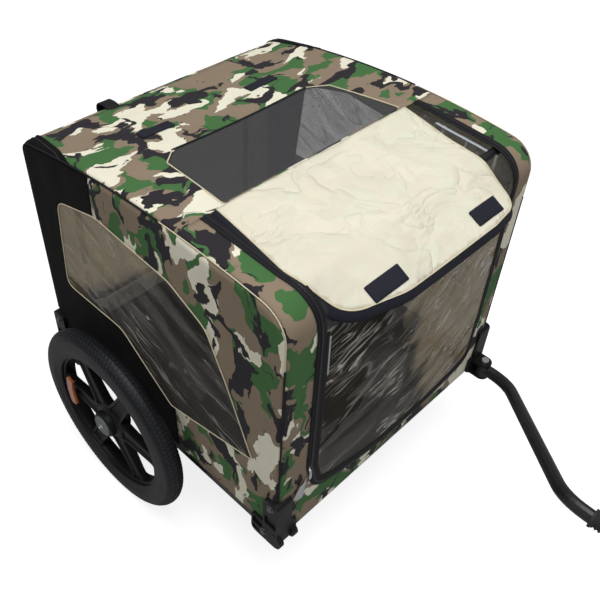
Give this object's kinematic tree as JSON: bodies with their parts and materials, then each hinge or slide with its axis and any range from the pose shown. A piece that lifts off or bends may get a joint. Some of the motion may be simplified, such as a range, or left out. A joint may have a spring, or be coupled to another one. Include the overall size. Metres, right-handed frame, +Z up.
{
  "type": "bicycle cargo trailer",
  "caption": "Two-wheeled bicycle trailer with a zipped camouflage fabric cabin, clear windows, folding roof flap, moulded wheels and a side tow arm with a hitch.",
  "frame": {"origin": "centre of the bounding box on the ground", "axes": "+X forward along the tow arm, +Y to the trailer's left, +Z up"},
  "size_m": [1.1626, 0.754, 0.7377],
  "materials": {
    "frame_steel": "black powder coat",
    "bright_steel": "plain steel",
    "moulded_black": "fine grain",
    "hub_grey": "smooth grey",
    "tyre_rubber": "fine block tread",
    "coupler_rubber": "smooth",
    "black_fabric": "plain weave",
    "camouflage_fabric": "woodland pattern weave",
    "cream_fabric": "coated reverse side",
    "clear_sheet": "clear, creased",
    "roof_mesh_fabric": "open net",
    "black_tape": "woven tape",
    "floor_board": "fine grain",
    "amber_reflector": "prismatic",
    "silver_tape": "reflective"
  },
  "bodies": {
    "trailer": {"left_base_rail": "frame_steel", "right_base_rail": "frame_steel", "front_cross_tube": "frame_steel", "rear_cross_tube": "frame_steel", "axle_beam": "frame_steel", "floor_panel": "floor_board", "front_left_connector": "moulded_black", "front_right_connector": "moulded_black", "rear_left_connector": "moulded_black", "rear_right_connector": "moulded_black", "left_hoop": "frame_steel", "right_hoop": "frame_steel", "front_top_bar": "frame_steel", "rear_top_bar": "frame_steel", "left_axle_receiver": "moulded_black", "right_axle_receiver": "moulded_black", "left_axle": "bright_steel", "right_axle": "bright_steel", "left_side_panel_black": "black_fabric", "left_side_panel_camo": "camouflage_fabric", "left_side_window": "clear_sheet", "right_side_panel_black": "black_fabric", "right_side_panel_camo": "camouflage_fabric", "right_side_window": "clear_sheet", "roof_panel": "camouflage_fabric", "roof_mesh": "roof_mesh_fabric", "left_loop_strip": "black_tape", "right_loop_strip": "black_tape", "front_surround": "camouflage_fabric", "front_zip": "black_tape", "front_window": "clear_sheet", "rear_surround": "camouflage_fabric", "rear_zip": "black_tape", "reflective_tab": "silver_tape"},
    "right_wheel": {"right_wheel": "moulded_black", "right_tyre": "tyre_rubber", "right_hub_bearing": "bright_steel", "right_hub_cap": "hub_grey", "right_reflector": "amber_reflector"},
    "right_release_button": {"right_release_button": "bright_steel"},
    "left_wheel": {"left_wheel": "moulded_black", "left_tyre": "tyre_rubber", "left_hub_bearing": "bright_steel", "left_hub_cap": "hub_grey", "left_reflector": "amber_reflector"},
    "left_release_button": {"left_release_button": "bright_steel"},
    "flap_rear": {"flap_rear": "cream_fabric"},
    "flap_front": {"flap_front": "cream_fabric", "left_hook_patch": "black_tape", "right_hook_patch": "black_tape"},
    "front_door": {"front_door": "clear_sheet"},
    "rear_door": {"rear_door": "camouflage_fabric"},
    "right_door_slider": {"right_door_slider": "bright_steel"},
    "left_door_slider": {"left_door_slider": "bright_steel"},
    "tow_arm": {"tow_arm": "frame_steel"},
    "tow_arm_pin": {"tow_arm_pin": "bright_steel"},
    "hitch_fork": {"hitch_coupler": "coupler_rubber", "hitch_fork": "bright_steel"},
    "hitch_plate": {"hitch_plate": "bright_steel"},
    "hitch_pin": {"hitch_pin": "bright_steel"}
  },
  "joints": [
    {"name": "right_wheel_spin", "type": "hinge", "parent": "trailer", "child": "right_wheel", "pos_m": [-0.34975, -0.345, 0.197], "axis": [0, 1, 0], "continuous": true},
    {"name": "left_wheel_spin", "type": "hinge", "parent": "trailer", "child": "left_wheel", "pos_m": [-0.34975, 0.345, 0.197], "axis": [0, 1, 0], "continuous": true},
    {"name": "right_button_press", "type": "slide", "parent": "trailer", "child": "right_release_button", "axis": [0, 1, 0], "range_m": [0, 0.003], "stiffness_N_per_m": 400, "springref_m": -0.001},
    {"name": "left_button_press", "type": "slide", "parent": "trailer", "child": "left_release_button", "axis": [0, -1, 0], "range_m": [0, 0.003], "stiffness_N_per_m": 400, "springref_m": -0.001},
    {"name": "flap_fold", "type": "hinge", "parent": "trailer", "child": "flap_rear", "pos_m": [-0.16975, 0, 0.73826], "axis": [0, -1, 0], "range_deg": [0, 184]},
    {"name": "flap_tip_lift", "type": "hinge", "parent": "flap_rear", "child": "flap_front", "pos_m": [0.01309, 0, 0.72727], "axis": [0, -1, 0], "range_deg": [0, 33]},
    {"name": "front_door_swing", "type": "hinge", "parent": "trailer", "child": "front_door", "pos_m": [0.05175, 0.0065, 0.655], "axis": [0, -1, 0], "range_deg": [0, 85]},
    {"name": "rear_door_swing", "type": "hinge", "parent": "trailer", "child": "rear_door", "pos_m": [-0.57525, 0, 0.64], "axis": [0, 1, 0], "range_deg": [0, 110]},
    {"name": "right_slider_travel", "type": "slide", "parent": "trailer", "child": "right_door_slider", "axis": [0, 0, 1], "range_m": [0, 0.28]},
    {"name": "left_slider_travel", "type": "slide", "parent": "trailer", "child": "left_door_slider", "axis": [0, 0, 1], "range_m": [0, 0.28]},
    {"name": "tow_arm_swing", "type": "hinge", "parent": "trailer", "child": "tow_arm", "pos_m": [0.07675, 0.287, 0.2], "axis": [0, 0, -1], "range_deg": [0, 46]},
    {"name": "arm_pin_pull", "type": "slide", "parent": "tow_arm", "child": "tow_arm_pin", "axis": [0, 0, 1], "range_m": [0, 0.05]},
    {"name": "coupler_bend", "type": "hinge", "parent": "tow_arm", "child": "hitch_fork", "pos_m": [0.45125, 0.03, 0.33], "axis": [0, 1, 0], "range_deg": [-20, 20], "stiffness_Nm_per_rad": 60, "deforming": ["hitch_coupler"]},
    {"name": "hitch_plate_turn", "type": "hinge", "parent": "hitch_fork", "child": "hitch_plate", "pos_m": [0.50125, 0.03, 0.33], "axis": [0, 0, 1], "range_deg": [-70, 70]},
    {"name": "hitch_pin_pull", "type": "slide", "parent": "hitch_fork", "child": "hitch_pin", "axis": [0, 0, 1], "range_m": [0, 0.028]}
  ],
  "couplings": [
    {"joint": "flap_tip_lift", "follows": "flap_fold", "ratio": 0.174}
  ]
}
